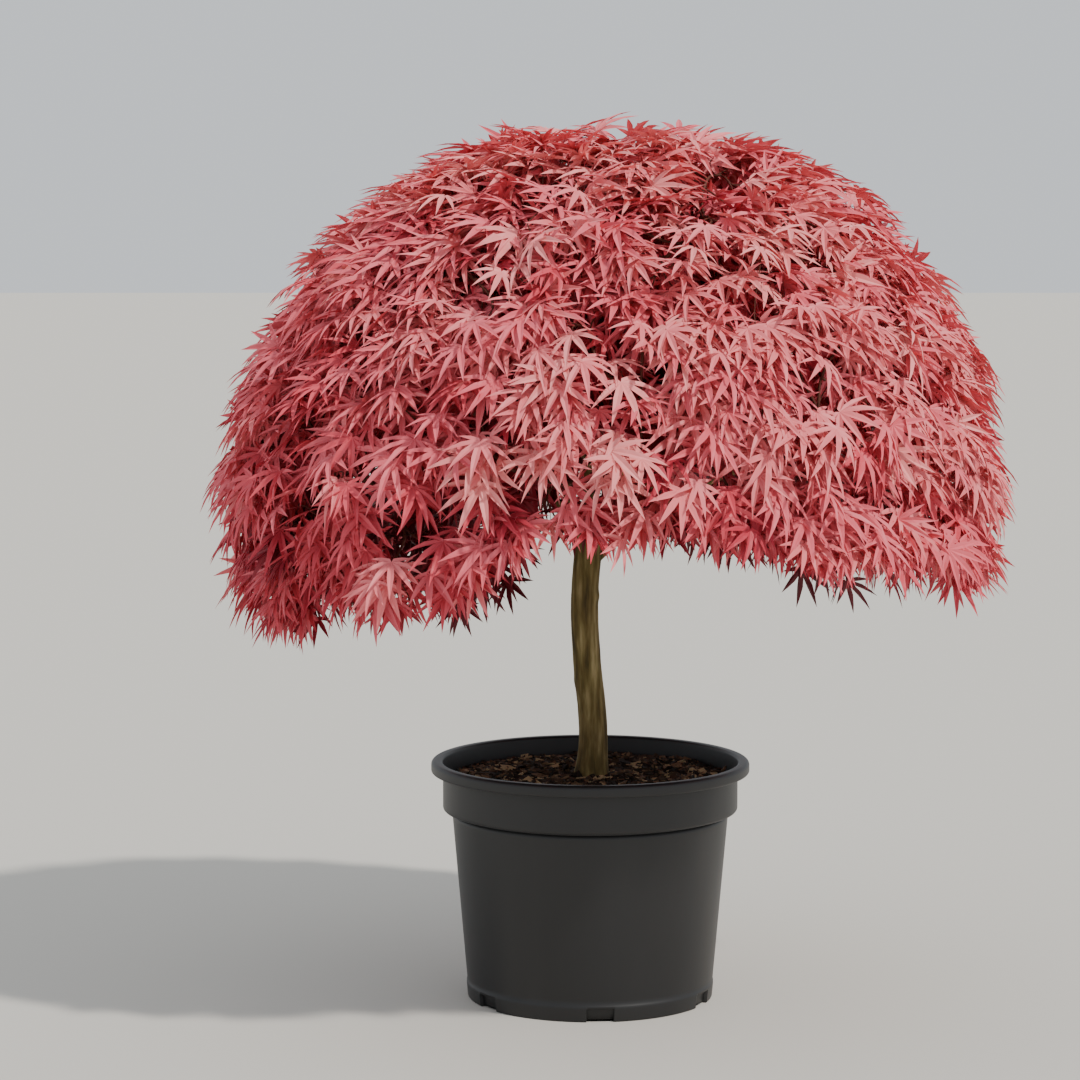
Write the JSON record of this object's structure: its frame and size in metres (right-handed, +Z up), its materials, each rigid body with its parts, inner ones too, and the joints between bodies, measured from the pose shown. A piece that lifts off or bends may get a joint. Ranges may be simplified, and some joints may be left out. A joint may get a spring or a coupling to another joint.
{
  "type": "potted japanese maple",
  "caption": "Small weeping maple on a short clear trunk with a wide domed head of pink and red lobed leaves, growing in a round black plastic nursery pot.",
  "frame": {"origin": "centre of the pot's flat underside", "axes": "+Z up along the pot's axis, +X to the right and -Y to the front as the plant is seen in the picture"},
  "size_m": [0.9773, 0.9607, 1.066],
  "materials": {
    "pot": "satin",
    "soil": "matte",
    "bark": "matte",
    "leaf": "satin"
  },
  "bodies": {
    "root": {"pot": "pot", "soil": "soil", "trunk": "bark", "bough_top": "bark", "bough_upper_right": "bark", "bough_upper_back_right": "bark", "bough_upper_back_left": "bark", "bough_upper_left": "bark", "bough_upper_front_left": "bark", "bough_upper_front_right": "bark", "bough_skirt_right": "bark", "bough_skirt_back_right": "bark", "bough_skirt_back": "bark", "bough_skirt_back_left": "bark", "bough_skirt_left": "bark", "bough_skirt_front_left": "bark", "bough_skirt_front": "bark", "bough_skirt_front_right": "bark", "foliage_top": "leaf", "foliage_upper_right": "leaf", "foliage_upper_back_right": "leaf", "foliage_upper_back_left": "leaf", "foliage_upper_left": "leaf", "foliage_upper_front_left": "leaf", "foliage_upper_front_right": "leaf", "foliage_skirt_right": "leaf", "foliage_skirt_back_right": "leaf", "foliage_skirt_back": "leaf", "foliage_skirt_back_left": "leaf", "foliage_skirt_left": "leaf", "foliage_skirt_front_left": "leaf", "foliage_skirt_front": "leaf", "foliage_skirt_front_right": "leaf"}
  },
  "joints": []
}
